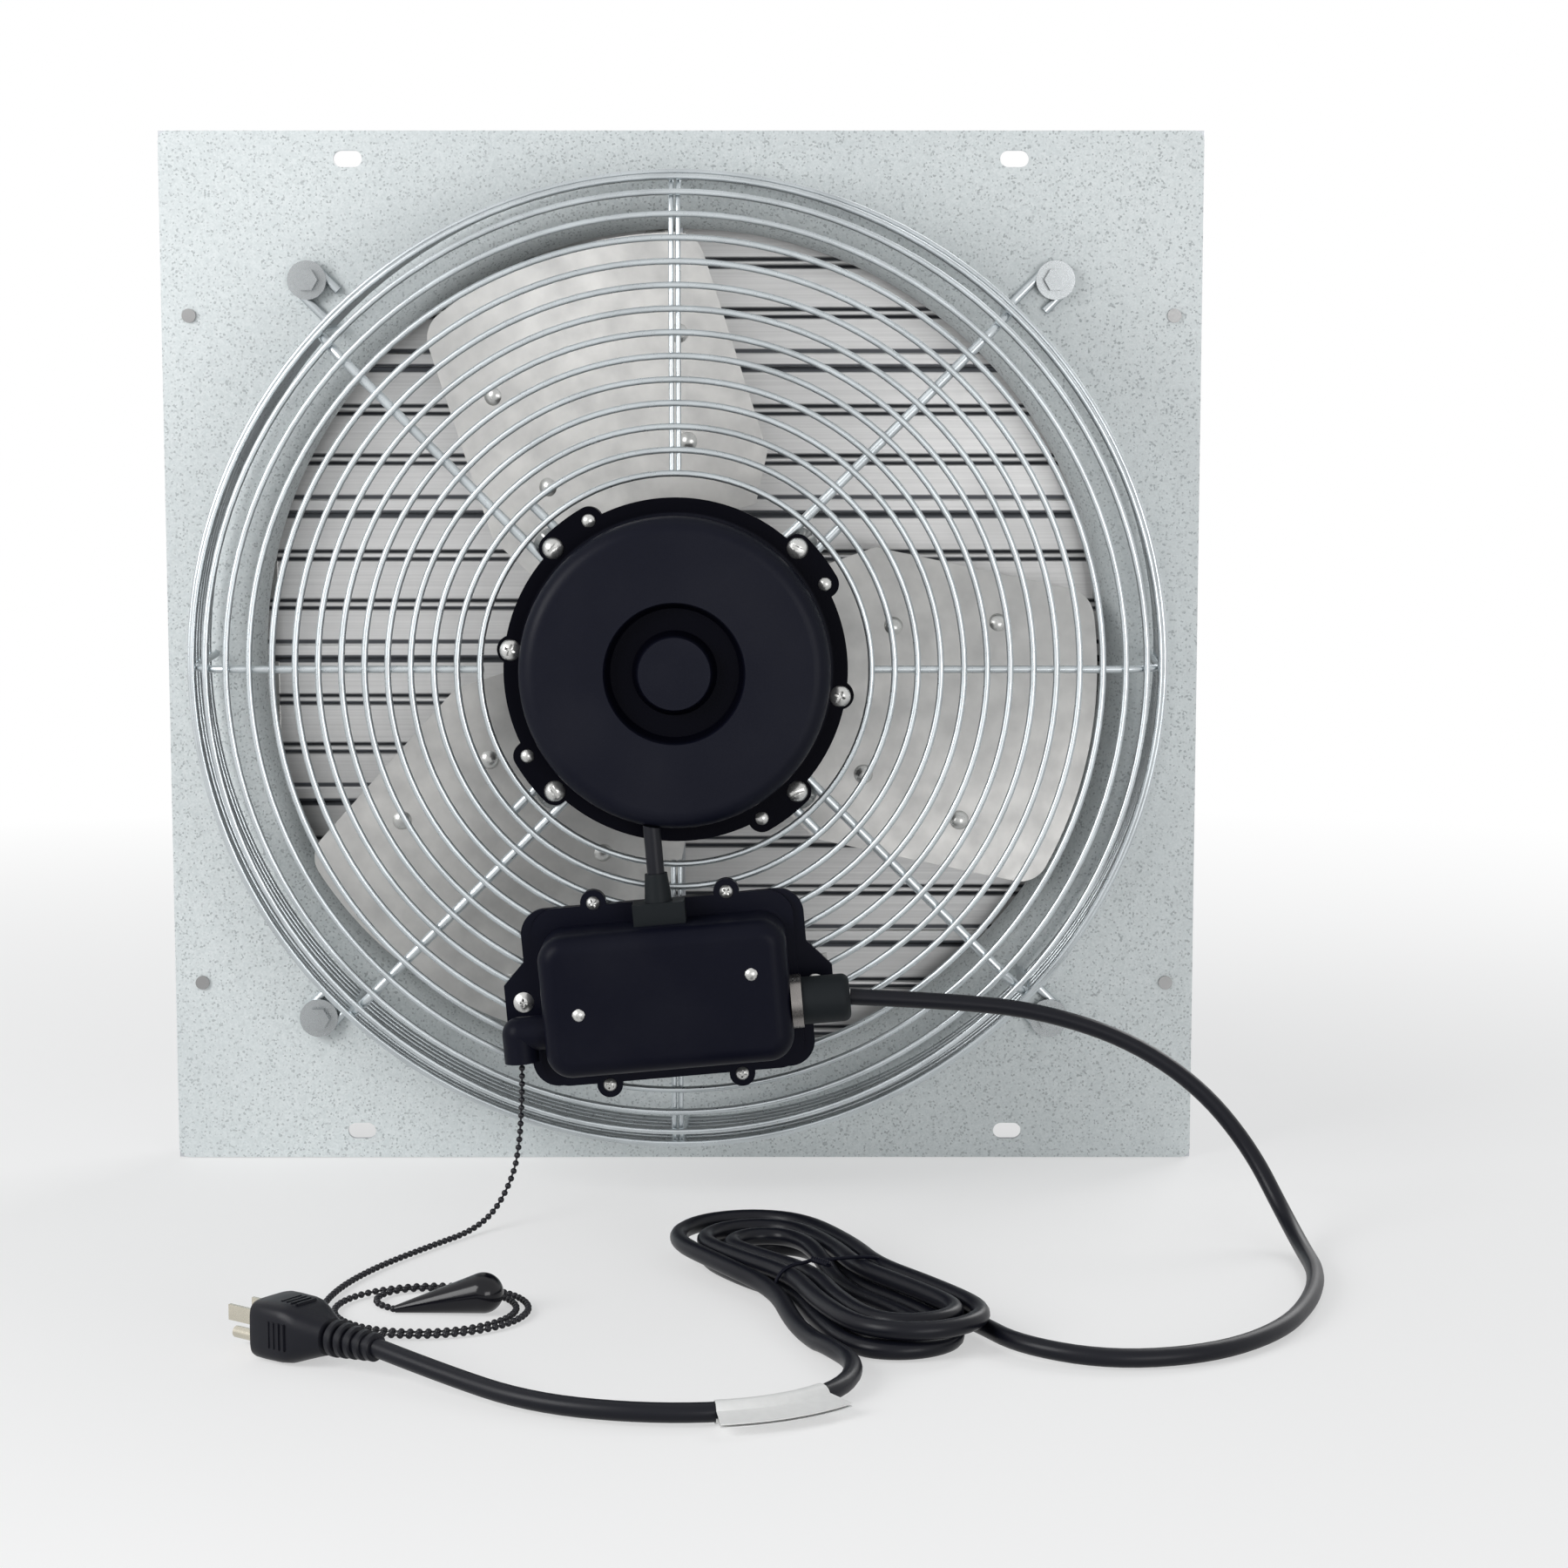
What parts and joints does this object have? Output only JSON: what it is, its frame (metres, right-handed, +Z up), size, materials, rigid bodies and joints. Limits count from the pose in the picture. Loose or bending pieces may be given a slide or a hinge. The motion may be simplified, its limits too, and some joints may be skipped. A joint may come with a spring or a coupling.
{
  "type": "shutter exhaust fan",
  "caption": "Square wall exhaust fan: venturi panel, wire guard holding the motor, pull-chain switch box with corded plug, and gravity louvers linked by a tie bar behind.",
  "frame": {"origin": "centre of the wall slots, on the face of the shutter flange that meets the wall", "axes": "+Z up, the motor side faces -Y, the louvers face +Y, +X to the right seen from the motor side"},
  "size_m": [0.5378, 0.4819, 0.508],
  "materials": {
    "galvanised_panel": "fine spangled zinc, low sheen",
    "mill_aluminium": "mill finish with fine extrusion lines",
    "louver_aluminium": "mill finish, bright on the ribs",
    "blade_aluminium": "satin sheet",
    "zinc_wire": "bright zinc plate",
    "zinc_hardware": "bright zinc plate",
    "nickel": "nickel plate",
    "black_casting": "satin black paint",
    "black_plastic": "fine matte",
    "gloss_black_plastic": "glossy",
    "black_cord": "smooth sheath, low sheen",
    "core_steel": "laminated steel",
    "copper": "enamelled copper wire",
    "brass": "plain brass",
    "shaft_steel": "ground steel"
  },
  "bodies": {
    "fan_frame": {"fan_panel": "galvanised_panel", "shutter_frame_top": "mill_aluminium", "shutter_frame_bottom": "mill_aluminium", "shutter_frame_left": "mill_aluminium", "shutter_frame_right": "mill_aluminium", "shutter_stops": "mill_aluminium", "corner_welds": "mill_aluminium", "flange_rivets": "zinc_hardware", "louver_pivots": "zinc_hardware", "guard_face_rings": "zinc_wire", "guard_side_rings": "zinc_wire", "guard_spokes": "zinc_wire", "guard_bolts": "zinc_hardware", "motor_rear_bell": "black_casting", "motor_front_bell": "black_casting", "motor_screws": "zinc_hardware", "stator_core": "core_steel", "stator_windings": "copper", "shaft_bearings": "brass", "motor_lead": "black_cord", "lead_relief": "black_plastic", "box_base": "black_plastic", "box_cover": "black_plastic", "box_screws": "zinc_hardware", "box_clamps": "zinc_hardware", "pull_switch": "black_plastic", "run_capacitor": "gloss_black_plastic", "switch_nose": "black_plastic", "gland_body": "black_plastic", "gland_locknut": "nickel", "power_cord": "black_cord", "cord_hank": "black_cord", "cord_tail": "black_cord", "hank_tie": "black_plastic", "plug_body": "black_cord", "plug_prongs": "brass", "pull_chain": "black_plastic", "chain_coil": "black_plastic", "chain_knob": "gloss_black_plastic"},
    "pull_stem": {"pull_stem": "zinc_hardware"},
    "rotor": {"motor_shaft": "shaft_steel", "rotor_core": "core_steel", "fan_hub": "zinc_hardware", "hub_fasteners": "zinc_hardware", "fan_blade_1": "blade_aluminium", "fan_blade_2": "blade_aluminium", "fan_blade_3": "blade_aluminium"},
    "louver_1": {"louver_1": "louver_aluminium", "louver_1_hardware": "zinc_hardware"},
    "louver_2": {"louver_2": "louver_aluminium", "louver_2_hardware": "zinc_hardware"},
    "louver_3": {"louver_3": "louver_aluminium", "louver_3_hardware": "zinc_hardware"},
    "louver_4": {"louver_4": "louver_aluminium", "louver_4_hardware": "zinc_hardware"},
    "louver_5": {"louver_5": "louver_aluminium", "louver_5_hardware": "zinc_hardware"},
    "louver_6": {"louver_6": "louver_aluminium", "louver_6_hardware": "zinc_hardware"},
    "tie_bar": {"tie_bar": "mill_aluminium"}
  },
  "joints": [
    {"name": "rotor_spin", "type": "hinge", "parent": "fan_frame", "child": "rotor", "pos_m": [0, -0.03, 0], "axis": [0, 1, 0], "continuous": true},
    {"name": "pull_switch_slide", "type": "slide", "parent": "fan_frame", "child": "pull_stem", "axis": [0.0872, 0, -0.9962], "range_m": [0, 0.006], "stiffness_N_per_m": 600, "springref_m": -0.004, "deforming": ["pull_chain"]},
    {"name": "louver_1_pivot", "type": "hinge", "parent": "fan_frame", "child": "louver_1", "pos_m": [0, 0.032, 0.2035], "axis": [1, 0, 0], "range_deg": [0, 65]},
    {"name": "louver_2_pivot", "type": "hinge", "parent": "fan_frame", "child": "louver_2", "pos_m": [0, 0.032, 0.1305], "axis": [1, 0, 0], "range_deg": [0, 65]},
    {"name": "louver_3_pivot", "type": "hinge", "parent": "fan_frame", "child": "louver_3", "pos_m": [0, 0.032, 0.0575], "axis": [1, 0, 0], "range_deg": [0, 65]},
    {"name": "louver_4_pivot", "type": "hinge", "parent": "fan_frame", "child": "louver_4", "pos_m": [0, 0.032, -0.0155], "axis": [1, 0, 0], "range_deg": [0, 65]},
    {"name": "louver_5_pivot", "type": "hinge", "parent": "fan_frame", "child": "louver_5", "pos_m": [0, 0.032, -0.0885], "axis": [1, 0, 0], "range_deg": [0, 65]},
    {"name": "louver_6_pivot", "type": "hinge", "parent": "fan_frame", "child": "louver_6", "pos_m": [0, 0.032, -0.1615], "axis": [1, 0, 0], "range_deg": [0, 65]},
    {"name": "tie_bar_pivot", "type": "hinge", "parent": "louver_1", "child": "tie_bar", "pos_m": [0, 0.0037, 0.20399], "axis": [1, 0, 0], "range_deg": [-65, 0]}
  ],
  "couplings": [
    {"joint": "louver_2_pivot", "follows": "louver_1_pivot", "ratio": 1},
    {"joint": "louver_3_pivot", "follows": "louver_1_pivot", "ratio": 1},
    {"joint": "louver_4_pivot", "follows": "louver_1_pivot", "ratio": 1},
    {"joint": "louver_5_pivot", "follows": "louver_1_pivot", "ratio": 1},
    {"joint": "louver_6_pivot", "follows": "louver_1_pivot", "ratio": 1},
    {"joint": "tie_bar_pivot", "follows": "louver_1_pivot", "ratio": -1}
  ]
}
